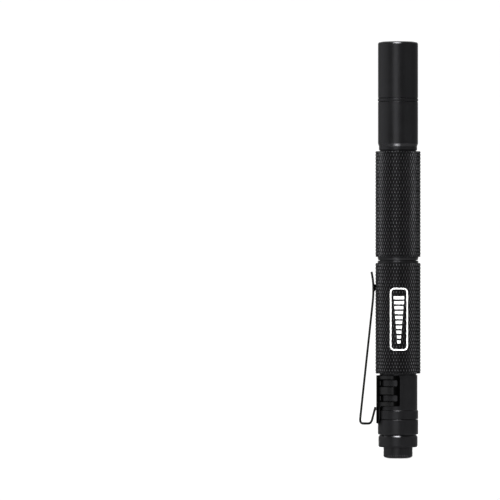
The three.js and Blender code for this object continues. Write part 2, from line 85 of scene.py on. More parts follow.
OUTER_SEGMENTS = 144
INNER_SEGMENTS = 96
SMALL_SEGMENTS = 48
FILLET = 0.07
SHARP_ANGLE = math.radians(35)
WELD_DISTANCE = 1e-7

# ---------- knurl ----------

KNURL_STARTS = 48
KNURL_HEIGHT = 2.22
KNURL_DEPTH = 0.34
GROOVE_SHARE = 0.06
CREST_SHARE = 0.38
KNURL_KNOTS = ((-GROOVE_SHARE, 0), (GROOVE_SHARE, 0), (CREST_SHARE, 1), (1 - CREST_SHARE, 1))
KNURL_BEVEL = 0.2

BUTTON_TEETH = 48

# ---------- clip ----------

CLIP_SHEET = 0.7
CLIP_WIDTH = 4.4
COLLAR_SHEET = 0.42
COLLAR_RADIUS = 6.9
U_BEND_HEIGHT = 11.35
COLLAR_WINDOWS = ((18.7, 20.65), (23.6, 25.6))


# ---------- reading the frame ----------


def span(node):
    """The lowest and the highest corner of a CAD node."""
    low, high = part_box(node)
    return np.array(low) / MM, np.array(high) / MM


def cad_outline(node):
    """The (radius, height) corners of a turned CAD node, and whether they close on themselves.

    The corners lie in the half plane x = 0, y < 0. A flat end may have no edge in that plane, so loose
    ends at one height are joined to each other, or to the axis.
    """
    mesh = frame["nodes"][node].data
    tolerance = 1e-3
    digits = 3

    def corner(index):
        x, y, z = mesh.vertices[index].co / MM
        if abs(x) > tolerance or y > tolerance:
            return None
        return round(max(-y, 0.0), digits), round(z, digits)

    links = defaultdict(set)

    def link(one, other):
        links[one].add(other)
        links[other].add(one)

    for edge in mesh.edges:
        one, other = (corner(index) for index in edge.vertices)
        if one and other and one != other:
            link(one, other)
    loose = [point for point in links if len(links[point]) == 1 and point[0] > 0]
    for height in sorted({point[1] for point in loose}):
        radii = sorted(radius for radius, level in loose if level == height)
        if len(radii) % 2:
            radii.insert(0, 0.0)
        for inner, outer in zip(radii[::2], radii[1::2]):
            link((inner, height), (outer, height))

    starts = sorted((point for point in links if point[0] == 0), key=lambda point: point[1])
    closed = not starts
    walk = [starts[0] if starts else min(links)]
    while True:
        onward = [point for point in links[walk[-1]] if point not in walk]
        if not onward:
            return [np.array(point) for point in walk], closed
        walk.append(min(onward) if len(walk) == 1 else onward[0])


# ---------- outlines ----------


def rounded(points, closed, fillet=FILLET):
    """An outline with each corner turned into a small arc, and a support point just past each arc."""
    least_turn = math.radians(12)
    share = 0.3
    support = 1.4
    steps = (1 / 3, 2 / 3)
    made = []
    count = len(points)
    for index, point in enumerate(points):
        if not closed and index in (0, count - 1):
            made.append(point)
            continue
        back = points[index - 1] - point
        onward = points[(index + 1) % count] - point
        back_length, onward_length = np.linalg.norm(back), np.linalg.norm(onward)
        turn = math.pi - math.acos(np.clip(back @ onward / (back_length * onward_length), -1, 1))
        if turn < least_turn:
            made.append(point)
            continue
        cut = min(fillet, share * back_length, share * onward_length)
        back, onward = back / back_length, onward / onward_length
        start, end = point + back * cut, point + onward * cut
        made.append(point + back * cut * support)
        made.append(start)
        made += [(1 - t) ** 2 * start + 2 * t * (1 - t) * point + t * t * end for t in steps]
        made.append(end)
        made.append(point + onward * cut * support)
    return made


def arc(rim, base, rise, steps=12):
    """A spherical cap's outline, from its rim to the axis."""
    ball = (rim * rim + rise * rise) / (2 * rise)
    widest = math.asin(rim / ball)
    angles = [widest * (1 - index / steps) for index in range(steps + 1)]
    return [np.array((ball * math.sin(a), base + rise - ball * (1 - math.cos(a)))) for a in angles]


def circle(centre, radius, sides=16):
    """A ring's round section, as a closed outline."""
    angles = [TAU * index / sides for index in range(sides)]
    return [np.array(centre) + radius * np.array((math.cos(a), math.sin(a))) for a in angles]


def finely(points, radius, low, high, step):
    """The outline with extra points where it runs straight up at a radius between two heights."""
    made = []
    for one, other in zip(points, points[1:]):
        made.append(one)
        if abs(one[0] - radius) > step or abs(other[0] - radius) > step:
            continue
        bottom, top = sorted((one[1], other[1]))
        bottom, top = max(bottom, low), min(top, high)
        if top - bottom < step:
            continue
        heights = np.linspace(bottom, top, int((top - bottom) / step) + 1)
        if other[1] < one[1]:
            heights = heights[::-1]
        made += [np.array((one[0], height)) for height in heights]
    made.append(points[-1])
    return made


# ---------- turning ----------


def turned(points, closed, segments=OUTER_SEGMENTS, shape=None):
    """Vertices and faces of an outline turned about Z. `shape` may move a vertex by its angle."""
    angles = np.arange(segments) * TAU / segments - math.pi / 2
    vertices, rings, faces = [], [], []
    for radius, height in points:
        if radius == 0:
            rings.append([len(vertices)] * segments)
            vertices.append((0.0, 0.0, height))
            continue
        radii, heights = np.full(segments, radius), np.full(segments, height)
        if shape:
            radii, heights = shape(radii, heights, angles)
        rings.append(list(range(len(vertices), len(vertices) + segments)))
        vertices += zip(radii * np.cos(angles), radii * np.sin(angles), heights)
    pairs = list(zip(rings, rings[1:])) + ([(rings[-1], rings[0])] if closed else [])
    for low, high in pairs:
        for index in range(segments):
            after = (index + 1) % segments
            corners = (low[index], low[after], high[after], high[index])
            faces.append(tuple(dict.fromkeys(corners)))
    return vertices, faces, rings


def build(name, vertices, faces, sharp=SHARP_ANGLE):
    """An object from millimetre vertices, with its faces turned outwards and its hard edges marked."""
    mesh = bpy.data.meshes.new(name)
    mesh.from_pydata([Vector(vertex) * MM for vertex in vertices], [], faces)
    made = bmesh.new()
    made.from_mesh(mesh)
    bmesh.ops.remove_doubles(made, verts=made.verts, dist=WELD_DISTANCE)
    bmesh.ops.recalc_face_normals(made, faces=made.faces)
    made.to_mesh(mesh)
    made.free()
    mesh.shade_smooth()
    mesh.set_sharp_from_angle(angle=sharp)
    piece = bpy.data.objects.new(name, mesh)
    bpy.context.scene.collection.objects.link(piece)
    return piece


def turned_piece(name, points, closed, segments=OUTER_SEGMENTS, shape=None, fillet=FILLET):
    outline = rounded([np.array(point, float) for point in points], closed, fillet)
    vertices, faces, _ = turned(outline, closed, segments, shape)
    return build(name, vertices, faces)


def dressed(piece, material, *nodes):
    """The piece takes a material, moves with its CAD nodes' body and stands for them."""
    piece.data.materials.append(material)
    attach(piece, frame["nodes"][nodes[0]]["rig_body"])
    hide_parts(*nodes)
    SLOT_OF[nodes[0]]
    return piece


def from_cad(node, material, segments=OUTER_SEGMENTS, shape=None, fillet=FILLET):
    """A smooth, soft-edged piece turned on a CAD node's own outline."""
    points, closed = cad_outline(node)
    piece = turned_piece(node + "_detail", points, closed, segments, shape, fillet)
    return dressed(piece, material, node)


def placed(piece, tilt, axis, move):
    """Turns a piece about an axis through the origin and moves it, in its mesh."""
    turn = Matrix.Rotation(math.radians(tilt), 4, axis)
    piece.data.transform(Matrix.Translation(Vector(move) * MM) @ turn)
    return piece


def joined(*pieces):
    """One object from several; the first keeps its name."""
    with bpy.context.temp_override(
        active_object=pieces[0], selected_objects=list(pieces), selected_editable_objects=list(pieces)
    ):
        bpy.ops.object.join()
    return pieces[0]


def bored(piece, *tools):
    """Cuts tools out of a piece and removes them."""
    for tool in tools:
        cut = piece.modifiers.new("cut", "BOOLEAN")
        cut.operation = "DIFFERENCE"
        cut.solver = "EXACT"
        cut.object = tool
        graph = bpy.context.evaluated_depsgraph_get()
        mesh = bpy.data.meshes.new_from_object(piece.evaluated_get(graph))
        piece.modifiers.clear()
        piece.data = mesh
        bpy.data.objects.remove(tool)
    piece.data.shade_smooth()
    piece.data.set_sharp_from_angle(angle=SHARP_ANGLE)
    return piece


def drill(radius, start, length, direction):
    """A cutting tool: a round bar from a point along +Y or +X."""
    ends = [(0, 0), (radius, 0), (radius, length), (0, length)]
    vertices, faces, _ = turned([np.array(end, float) for end in ends], False, SMALL_SEGMENTS)
    bar = build("drill", vertices, faces)
    tilt, axis = {"+Y": (-90, "X"), "+X": (90, "Y")}[direction]
    return placed(bar, tilt, axis, start)


# ---------- knurled barrels ----------


def knot(index):
    """Where a knurl knot lies along its own direction, in starts, and whether it is on a crest."""
    whole, part = divmod(index, len(KNURL_KNOTS))
    offset, height = KNURL_KNOTS[part]
    return whole + offset, height


def knurl(radius, bottom, top):
    """A bmesh of crossed helical grooves between two heights, bevelled at its ends, in millimetres."""
    per_start = len(KNURL_KNOTS)
    around = 2 * KNURL_STARTS * per_start
    margin = 1
    rows = int(((top - bottom) / KNURL_HEIGHT + 2 * margin) * 2 * per_start)
    made = bmesh.new()
    grid = {}

    def vertex(total, difference):
        total %= around
        key = (total, difference)
        if key not in grid:
            first, second = (total + difference) // 2, (total - difference) // 2
            (one, one_height), (other, other_height) = knot(first), knot(second)
            angle = TAU * (one + other) / 2 / KNURL_STARTS
            height = bottom + KNURL_HEIGHT * ((one - other) / 2 - margin)
            crest = min(one_height, other_height)
            reach = radius - KNURL_DEPTH * (1 - crest)
            point = made.verts.new((reach * math.cos(angle), reach * math.sin(angle), height))
            grid[key] = (point, crest)
        return grid[key]

    for difference in range(rows):
        for total in range(difference % 2, around, 2):
            corners = [
                vertex(total, difference),
                vertex(total + 1, difference + 1),
                vertex(total, difference + 2),
                vertex(total - 1, difference + 1),
            ]
            crests = [crest for _, crest in corners]
            points = [point for point, _ in corners]
            if sum(crests) == 1:
                peak = crests.index(1)
                points = points[peak:] + points[:peak]
                made.faces.new((points[0], points[1], points[2]))
                made.faces.new((points[0], points[2], points[3]))
            else:
                made.faces.new(points)

    up = Vector((0, 0, 1))

    def slice_at(height, **which):
        everything = [*made.verts, *made.edges, *made.faces]
        bmesh.ops.bisect_plane(made, geom=everything, plane_co=up * height, plane_no=up, **which)

    slice_at(bottom, clear_inner=True)
    slice_at(top, clear_outer=True)
    slice_at(bottom + KNURL_BEVEL)
    slice_at(top - KNURL_BEVEL)
    for point in made.verts:
        depth = min(point.co.z - bottom, top - point.co.z)
        limit = radius - KNURL_BEVEL + max(depth, 0)
        reach = point.co.xy.length
        if reach > limit:
            point.co.x *= limit / reach
            point.co.y *= limit / reach
    return made


def zipped(first, second):
    """Triangles that fill the gap between two rings of (angle, index), both in order of angle."""
    faces = []
    i = j = 0

    def angle(ring, index):
        return ring[index % len(ring)][0] + TAU * (index // len(ring))

    while i < len(first) or j < len(second):
        near, far = first[i % len(first)][1], second[j % len(second)][1]
        take_first = j == len(second) or (i < len(first) and angle(first, i + 1) <= angle(second, j + 1))
        if take_first:
            i += 1
            faces.append((near, first[i % len(first)][1], far))
        else:
            j += 1
            faces.append((near, second[j % len(second)][1], far))
    return faces


def in_order(points, indices):
    """(angle, index) of some points, in order of their angle about Z."""
    return sorted((math.atan2(points[index][1], points[index][0]) % TAU, index) for index in indices)


def knurled_barrel(node, material, adjust=None, shape=None):
    """A barrel turned on its CAD outline, with a cut knurl where the outline is widest."""
    points, _ = cad_outline(node)
    radius = max(point[0] for point in points)
    grip = [point[1] for point in points if point[0] == radius]
    bottom, top = min(grip) - KNURL_BEVEL, max(grip) + KNURL_BEVEL
    edge = radius - KNURL_BEVEL
    keep = [index for index, point in enumerate(points) if point[0] < edge - FILLET]
    first = next(index for index in keep if (index - 1) % len(points) not in keep)
    rest = [points[(first + step) % len(points)] for step in range(len(keep))]
    outline = rounded(rest, False)
    if adjust:
        outline = adjust(outline)
    vertices, faces, rings = turned(outline, False, OUTER_SEGMENTS, shape)

    grooves = knurl(radius, bottom, top)
    grooves.verts.index_update()
    offset = len(vertices)
    vertices += [tuple(point.co) for point in grooves.verts]
    grip_faces = [tuple(point.index + offset for point in face.verts) for face in grooves.faces]
    loops = defaultdict(list)
    for point in grooves.verts:
        if point.is_boundary:
            loops[point.co.z > (bottom + top) / 2].append(point.index + offset)
    grooves.free()
    for ring, start in ((rings[0], rest[0]), (rings[-1], rest[-1])):
        loop = loops[start[1] > (bottom + top) / 2]
        faces += zipped(in_order(vertices, ring), in_order(vertices, loop))
    piece = build(node + "_detail", vertices, faces + grip_faces)
    return dressed(piece, material, node)


# ---------- sheet metal ----------


def rounded_loop(corners, radius, steps=5):
    """A closed plan with its corners rounded."""
    made = []
    count = len(corners)
    for index, corner in enumerate(corners):
        corner = np.array(corner, float)
        back = np.array(corners[index - 1], float) - corner
        onward = np.array(corners[(index + 1) % count], float) - corner
        cut = min(radius, np.linalg.norm(back) / 2.2, np.linalg.norm(onward) / 2.2)
        start = corner + back / np.linalg.norm(back) * cut
        end = corner + onward / np.linalg.norm(onward) * cut
        for step in range(steps + 1):
            t = step / steps
            made.append((1 - t) ** 2 * start + 2 * t * (1 - t) * corner + t * t * end)
    return made


def spread(loop, longest):
    """The loop with points added so that no side is longer than that."""
    made = []
    for index, point in enumerate(loop):
        onward = loop[(index + 1) % len(loop)]
        parts = max(1, math.ceil(np.linalg.norm(onward - point) / longest))
        made += [point + (onward - point) * part / parts for part in range(parts)]
    return made


def drawn_in(loop, distance):
    """The loop moved towards its left side by a distance."""
    made = []
    for index, point in enumerate(loop):
        along = loop[(index + 1) % len(loop)] - loop[index - 1]
        along = along / np.linalg.norm(along)
        made.append(point + distance * np.array((-along[1], along[0])))
    return made


def within(points, loops):
    """Which of the points lie inside an odd number of loops."""
    crossings = np.zeros(len(points), int)
    for loop in loops:
        for one, other in zip(loop, [*loop[1:], loop[0]]):
            if one[1] == other[1]:
                continue
            spans = (one[1] > points[:, 1]) != (other[1] > points[:, 1])
            share = (points[:, 1] - one[1]) / (other[1] - one[1])
            crossings += spans & (points[:, 0] < one[0] + share * (other[0] - one[0]))
    return crossings % 2 == 1


def sheet(loops, thickness, bend, mesh_step=0.55, edge=0.09):
    """Vertices and faces of a plate with soft edges. The first loop runs anticlockwise round the plan,
    and the others clockwise round its holes. `bend` takes plan x, plan y and height to a point."""
    loops = [spread(loop, mesh_step) for loop in loops]
    faces_in = [drawn_in(loop, edge) for loop in loops]
    plan = [point for loop in faces_in for point in loop]
    borders, start = [], 0
    for loop in faces_in:
        count = len(loop)
        borders.append([start + index for index in range(count)])
        start += count
    edges = [pair for ring in borders for pair in zip(ring, ring[1:] + ring[:1])]
    low, high = np.min(plan, axis=0), np.max(plan, axis=0)
    clearance = mesh_step / 2
    border_points = np.array(plan)
    inner = []
    for x in np.arange(low[0] + clearance, high[0], mesh_step):
        for y in np.arange(low[1] + clearance, high[1], mesh_step):
            if np.min(np.hypot(*(border_points - (x, y)).T)) > clearance:
                inner.append((x, y))
    given = [Vector(point) for point in plan + inner]
    points, _, triangles, origins, _, _ = delaunay_2d_cdt(given, edges, [], 0, 1e-6)
    centres = np.array([np.mean([points[index] for index in face], axis=0) for face in triangles])
    triangles = [face for face, kept in zip(triangles, within(centres, faces_in)) if kept]
    number = {source: index for index, sources in enumerate(origins) for source in sources}

    half = thickness / 2
    count = len(points)
    vertices = [bend(point[0], point[1], side * half) for side in (1, -1) for point in points]
    faces = [tuple(face) for face in triangles]
    faces += [tuple(index + count for index in reversed(face)) for face in triangles]
    for loop, ring in zip(loops, borders):
        levels = [[number[index] for index in ring]]
        for height in (half - edge, edge - half):
            levels.append(list(range(len(vertices), len(vertices) + len(loop))))
            vertices += [bend(point[0], point[1], height) for point in loop]
        levels.append([number[index] + count for index in ring])
        for above, below in zip(levels, levels[1:]):
            for index in range(len(loop)):
                after = (index + 1) % len(loop)
                faces.append((above[index], below[index], below[after], above[after]))
    return vertices, faces


def collar_plan():
    """The collar's flat plan, as (arc length from the clip's middle, height): outside, then windows."""
    low, high = span("clip_collar")
    bottom, top = 17.05, high[2]
    reach, window_start, window_end = (math.radians(a) * COLLAR_RADIUS for a in (95, 36, 88))
    tongue_half = math.radians(31) * COLLAR_RADIUS
    root_half = tongue_half + 0.9
    tip_half = tongue_half - 0.7
    tongue_bottom = 11.4
    hand = [
        (-reach, top),
        (-reach, bottom),
        (-root_half, bottom),
        (-tongue_half, bottom - 0.9),
        (-tongue_half, tongue_bottom + 1.6),
        (-tip_half, tongue_bottom),
    ]
    plan = hand + [(-along, height) for along, height in reversed(hand)]
    corner = 0.7
    loops = [rounded_loop(plan, corner)]
    window_corner = 0.45
    for floor, ceiling in COLLAR_WINDOWS:
        for side in (-1, 1):
            left, right = sorted((side * window_start, side * window_end))
            hole = [(left, floor), (left, ceiling), (right, ceiling), (right, floor)]
            loops.append(rounded_loop(hole, window_corner))
    return loops


def round_the_barrel(along, height, lift):
    """Bends the flat plan round the barrel. Its middle goes to -X."""
    angle = along / COLLAR_RADIUS
    overbend_start = math.radians(76)
    overbend = 0.28
    tip = math.radians(95)
    share = max(abs(angle) - overbend_start, 0) / (tip - overbend_start)
    reach = COLLAR_RADIUS + lift - overbend * share**2
    return -reach * math.cos(angle), -reach * math.sin(angle), height


# ---------- strips and wires ----------


def quadratic(start, control, end, steps=14):
    start, control, end = (np.array(point, float) for point in (start, control, end))
    return [
        (1 - t) ** 2 * start + 2 * t * (1 - t) * control + t * t * end
        for t in np.linspace(0, 1, steps + 1)
    ]


def stretched(path, longest):
    """A path with points added so that no step is longer than that."""
    made = [path[0]]
    for one, other in zip(path, path[1:]):
        parts = max(1, math.ceil(np.linalg.norm(other - one) / longest))
        made += [one + (other - one) * part / parts for part in range(1, parts + 1)]
    return made


def heading(path, index):
    """The path's direction at one of its points, of any length."""
    return path[min(index + 1, len(path) - 1)] - path[max(index - 1, 0)]


def skin(count, ring):
    """Faces over `count` rings of `ring` vertices each, closed at both ends."""
    faces = []
    for start in range(0, (count - 1) * ring, ring):
        for side in range(ring):
            after = (side + 1) % ring
            faces.append((start + side, start + after, start + after + ring, start + side + ring))
    faces.append(tuple(range(ring)))
    faces.append(tuple(range((count - 1) * ring, count * ring)))
    return faces


def strip(path, width, thickness, dimple=None, columns=14, corner=0.12, end_round=0.9):
    """Vertices and faces of a flat strip with soft edges that follows a path in the XZ plane.

    `dimple` is (height, radius, depth): a pressed bump that faces the barrel.
    """
    half_width, half = width / 2, thickness / 2
    flat = np.linspace(corner - half_width, half_width - corner, columns)
    diagonal = corner * (1 - math.sqrt(0.5))
    section = [(across, half) for across in flat]
    section += [(half_width - diagonal, half - diagonal), (half_width, half - corner)]
    section += [(half_width, corner - half), (half_width - diagonal, diagonal - half)]
    section += [(across, -half) for across in flat[::-1]]
    section += [(diagonal - half_width, diagonal - half), (-half_width, corner - half)]
    section += [(-half_width, half - corner), (diagonal - half_width, half - diagonal)]

    path = [np.array(point, float) for point in path]
    lengths = np.concatenate([[0], np.cumsum([np.linalg.norm(b - a) for a, b in zip(path, path[1:])])])
    vertices = []
    dimple_flatness = 6
    for index, point in enumerate(path):
        along = heading(path, index)
        along = along / np.linalg.norm(along)
        normal = np.array((along[1], -along[0]))
        inset = max(end_round - min(lengths[index], lengths[-1] - lengths[index]), 0)
        narrowing = end_round - math.sqrt(end_round**2 - inset**2)
        scale = (half_width - narrowing) / half_width
        for across, lift in section:
            y = across * scale
            if dimple:
                height, radius, depth = dimple
                share = min(math.hypot(y, point[1] - height) / radius, 1)
                lift = lift + depth * (1 - share**dimple_flatness)
            x, z = point + normal * lift
            vertices.append((x, y, z))
    return vertices, skin(len(path), len(section))


def wire(path, radius, sides=12):
    """Vertices and faces of a round wire along a path, closed at its ends."""
    vertices = []
    up = np.array((0.0, 0.0, 1.0))
    for index, point in enumerate(path):
        along = heading(path, index)
        across = np.cross(along, up)
        across = across / np.linalg.norm(across)
        over = np.cross(across, along)
        over = over / np.linalg.norm(over)
        for side in range(sides):
            angle = TAU * side / sides
            vertices.append(point + radius * (math.cos(angle) * across + math.sin(angle) * over))
    return vertices, skin(len(path), sides)


def coil_path(bottom_radius, top_radius, bottom, top, turns, closed_share=0.16, per_turn=40):
    """A compression spring's line, with a closed flat turn at each end."""
    made = []
    closed_turn_lift = 0.12
    count = int(turns * per_turn)
    for index in range(count + 1):
        t = index / count
        rise = min(max((t - closed_share) / (1 - 2 * closed_share), 0), 1)
        radius = bottom_radius + (top_radius - bottom_radius) * t
        angle = TAU * turns * t
        flat_lift = closed_turn_lift * (t - rise)
        height = bottom + (top - bottom) * (rise + flat_lift)
        made.append(np.array((radius * math.cos(angle), radius * math.sin(angle), height)))
    return made


# ---------- materials ----------


class Finish:
    """A procedural material. Its texture coordinates are the part's own frame, in metres."""

    def __init__(self, name):
        self.material = bpy.data.materials.new(name)
        self.material.use_nodes = True
        self.tree = self.material.node_tree
        self.shader = self.tree.nodes["Principled BSDF"]
        self.here = self.node("ShaderNodeTexCoord").outputs["Object"]
        self.normal = None

    def node(self, kind, inputs=None, **settings):
        made = self.tree.nodes.new(kind)
        for key, value in settings.items():
            setattr(made, key, value)
        for key, value in (inputs or {}).items():
            self.feed(made.inputs[key], value)
        return made

    def feed(self, socket, value):
        if isinstance(value, bpy.types.NodeSocket):
            self.tree.links.new(value, socket)
        else:
            socket.default_value = value

    def set(self, **values):
        for key, value in values.items():
            self.feed(self.shader.inputs[key.replace("_", " ")], value)
        return self

    def math(self, operation, *values):
        made = self.node("ShaderNodeMath", operation=operation)
        for socket, value in zip(made.inputs, values):
            self.feed(socket, value)
        return made.outputs[0]

    def product(self, first, *others):
        for value in others:
            first = self.math("MULTIPLY", first, value)
        return first

    def away(self, value, centre):
        """How far a value is from a centre, on either side."""
        return self.math("ABSOLUTE", self.math("SUBTRACT", value, centre))

    def stretch(self, scale):
        mapping = self.node("ShaderNodeMapping", {"Vector": self.here, "Scale": scale})
        return mapping.outputs["Vector"]

    def noise(self, scale, detail=3, where=None):
        inputs = {"Vector": where or self.here, "Scale": scale, "Detail": detail}
        return self.node("ShaderNodeTexNoise", inputs).outputs["Fac"]

    def ranged(self, value, low, high, to_low=0.0, to_high=1.0):
        inputs = {"Value": value, "From Min": low, "From Max": high, "To Min": to_low, "To Max": to_high}
        return self.node("ShaderNodeMapRange", inputs).outputs["Result"]

    def smooth_ranged(self, value, low, high, to_low, to_high):
        inputs = {"Value": value, "From Min": low, "From Max": high, "To Min": to_low, "To Max": to_high}
        made = self.node("ShaderNodeMapRange", inputs, interpolation_type="SMOOTHSTEP")
        return made.outputs["Result"]

    def mixed(self, share, one, other):
        made = self.node("ShaderNodeMix", data_type="RGBA")
        self.feed(made.inputs[0], share)
        self.feed(made.inputs[6], one)
        self.feed(made.inputs[7], other)
        return made.outputs[2]

    def blended(self, share, one, other):
        made = self.node("ShaderNodeMix", data_type="FLOAT")
        self.feed(made.inputs[0], share)
        self.feed(made.inputs[2], one)
        self.feed(made.inputs[3], other)
        return made.outputs[0]

    def bump(self, height, strength, depth):
        inputs = {"Height": height, "Strength": strength, "Distance": depth * MM}
        if self.normal:
            inputs["Normal"] = self.normal
        self.normal = self.node("ShaderNodeBump", inputs).outputs["Normal"]
        self.feed(self.shader.inputs["Normal"], self.normal)
        return self

    def axes(self):
        made = self.node("ShaderNodeSeparateXYZ", {"Vector": self.here})
        return [made.outputs[index] for index in range(3)]

    def from_axis(self):
        """Distance from the pen's axis, in metres."""
        x, y, _ = self.axes()
        squares = [self.math("MULTIPLY", axis, axis) for axis in (x, y)]
        return self.math("SQRT", self.math("ADD", *squares))

    def slope(self, gentle, steep):
        """0 on walls that run along the pen, 1 on turned faces that slope more steeply than that."""
        facing = self.node("ShaderNodeTexCoord").outputs["Normal"]
        turned_up = self.node("ShaderNodeSeparateXYZ", {"Vector": facing}).outputs["Z"]
        return self.ranged(self.math("ABSOLUTE", turned_up), gentle, steep)


def grey(value, blue=1.0):
    return value, value, value * blue, 1.0


def anodised(name, mark=False):
    """Black anodised aluminium, bead blasted, with turning lines and knurl crests lightened by wear. On
    the button's teeth the paler crests are partly wear and partly a painted highlight, and the
    near-black grooves between them are painted shade.
    """
    look = Finish(name)
    blast = look.noise(9000, 2)
    clouds = look.noise(160, 4)
    turning = look.noise(1, 2, look.stretch((60, 60, 6500)))
    reach = look.from_axis()
    grip = look.ranged(reach, 7.04 * MM, 7.1 * MM)
    crest = look.ranged(reach, 7.26 * MM, 7.37 * MM)
    colour = look.mixed(clouds, grey(0.01, 1.05), grey(0.014, 1.08))
    colour = look.mixed(grip, colour, grey(0.006, 1.05))
    colour = look.mixed(crest, colour, grey(0.075, 1.05))
    speckled = look.math("ADD", clouds, look.math("MULTIPLY", blast, 0.4))
    roughness = look.ranged(speckled, 0.3, 1.1, 0.32, 0.4)

    x, y, z = look.axes()
    button_top, teeth_top = 4.3 * MM, 1.0 * MM
    bead_middle, bead_reach = 117.2 * MM, 1.0 * MM
    chamfer = look.product(
        look.slope(0.22, 0.34),
        look.math("SUBTRACT", 1.0, grip),
        look.math("GREATER_THAN", z, button_top),
        look.math("GREATER_THAN", look.away(z, bead_middle), bead_reach),
    )
    colour = look.mixed(chamfer, colour, grey(0.022, 1.05))
    roughness = look.blended(chamfer, roughness, 0.2)

    # Painted light on the button's teeth below 1 mm: the paler tooth crests stand partly for wear of the
    # anodising and partly for a painted highlight, and the grooves between them are near black with
    # painted shade.
    turn = look.math("COSINE", look.math("MULTIPLY", look.math("ARCTAN2", y, x), BUTTON_TEETH))
    on_tooth = look.smooth_ranged(turn, -0.8, -0.3, 1.0, 0.0)
    tooth_wear_and_painted_light = look.mixed(on_tooth, grey(0.002), grey(0.07, 1.05))
    colour = look.mixed(look.math("LESS_THAN", z, teeth_top), colour, tooth_wear_and_painted_light)
    metallic = 0.92
    if mark:
        ink = pale_mark(look)
        grain = look.ranged(look.noise(2500, 2), 0.3, 0.7, 0.62, 0.8)
        white = look.node("ShaderNodeCombineColor", {"Red": grain, "Green": grain, "Blue": grain})
        colour = look.mixed(ink, colour, white.outputs[0])
        roughness = look.blended(ink, roughness, 0.6)
        metallic = look.blended(ink, metallic, 0.0)
    look.set(Base_Color=colour, Roughness=roughness, Metallic=metallic, Specular_Tint=grey(0.5))
    look.bump(blast, 0.25, 0.012)
    look.bump(turning, 0.12, 0.01)
    return look.material


def pale_mark(look):
    """A plain printed panel: a rounded frame round bars that grow in width. 1 where there is ink."""
    x, y, z = look.axes()
    middle = (0.3 * MM, 45.5 * MM)
    half = (2.7 * MM, 10 * MM)
    corner = 1.2 * MM
    line = 0.24 * MM
    bars = {"bottom": 37.6 * MM, "top": 53.4 * MM, "pitch": 1.6 * MM, "ink": 0.62}
    narrowest, widest = 0.5 * MM, 1.8 * MM
    offsets = []
    for axis, centre, reach in ((x, middle[0], half[0]), (z, middle[1], half[1])):
        offsets.append(look.math("SUBTRACT", look.away(axis, centre), reach - corner))
    outside = [look.math("MAXIMUM", offset, 0.0) for offset in offsets]
    squares = [look.math("MULTIPLY", value, value) for value in outside]
    radial = look.math("SQRT", look.math("ADD", *squares))
    inward = look.math("MINIMUM", look.math("MAXIMUM", *offsets), 0.0)
    framed = look.math("LESS_THAN", look.away(look.math("ADD", radial, inward), corner), line)

    up = look.math("SUBTRACT", z, bars["bottom"])
    step = look.math("FRACT", look.math("DIVIDE", up, bars["pitch"]))
    in_step = look.math("LESS_THAN", step, bars["ink"])
    width = look.ranged(z, bars["bottom"], bars["top"], narrowest, widest)
    in_width = look.math("LESS_THAN", look.away(x, middle[0]), width)
    above = look.math("GREATER_THAN", z, bars["bottom"])
    below = look.math("LESS_THAN", z, bars["top"])
    bar = look.product(in_step, in_width, above, below)
    in_front = look.math("LESS_THAN", y, 0.0)
    return look.math("MULTIPLY", look.math("MAXIMUM", framed, bar), in_front)


def spring_steel():
    """Blued spring steel, grey on the flat bands. The collar's tips, its spine and tongue next to the
    clip, the sheet's up- and down-facing edges and thin bands along the window edges are near black with
    painted shade.
    """
    look = Finish("black_spring_steel_look")
    grain = look.noise(1, 3, look.stretch((900, 6000, 900)))
    patches = look.noise(220, 3)
    x, _, z = look.axes()
    # Painted shade: near black at the collar's tips, on its spine and tongue next to the clip, on the
    # sheet's up- and down-facing edges and in thin bands along the top and bottom of each window.
    blotched = look.math("ADD", x, look.math("MULTIPLY", patches, 0.8 * MM))
    tip = look.smooth_ranged(blotched, -1.6 * MM, -0.8 * MM, 0.0, 1.0)
    bend = look.smooth_ranged(blotched, -6.4 * MM, -5.6 * MM, 1.0, 0.0)
    colour = look.mixed(patches, grey(0.012), grey(0.018, 1.05))
    black = look.math("MAXIMUM", look.math("MAXIMUM", tip, bend), look.slope(0.25, 0.6))
    shade_line_start, shade_line_end = 0.22 * MM, 0.34 * MM
    for height in (edge for window in COLLAR_WINDOWS for edge in window):
        edge = look.smooth_ranged(look.away(z, height * MM), shade_line_start, shade_line_end, 1.0, 0.0)
        black = look.math("MAXIMUM", black, edge)
    colour = look.mixed(black, colour, grey(0.001))
    outside_collar = -7.5 * MM
    leaf = look.math("LESS_THAN", x, outside_collar)
    look.set(
        Base_Color=look.mixed(leaf, colour, grey(0.008)),
        Roughness=look.ranged(patches, 0.3, 0.7, 0.26, 0.36),
        Metallic=0.95,
        Specular_Tint=grey(0.12),
        Specular_IOR_Level=0.1,
    )
    return look.bump(grain, 0.15, 0.01).material


def bright_metal(name, dark, light, roughness, scratch_scale=3000):
    """Bare metal with fine drawn lines and small patches of duller finish."""
    look = Finish(name)
    lines = look.noise(1, 3, look.stretch((scratch_scale, scratch_scale, scratch_scale / 12)))
    patches = look.noise(400, 4)
    look.set(
        Base_Color=look.mixed(patches, dark, light),
        Roughness=look.ranged(patches, 0.25, 0.75, roughness * 0.8, roughness * 1.3),
        Metallic=1.0,
    )
    return look.bump(lines, 0.2, 0.01).material


def moulded(name, dark, light, roughness, grain=1800, depth=0.02):
    """Moulded rubber or plastic with a fine surface grain."""
    look = Finish(name)
    skin = look.noise(grain, 3)
    patches = look.noise(120, 3)
    look.set(
        Base_Color=look.mixed(patches, dark, light),
        Roughness=look.ranged(skin, 0.3, 0.7, roughness * 0.9, roughness * 1.1),
    )
    return look.bump(skin, 0.3, depth).material


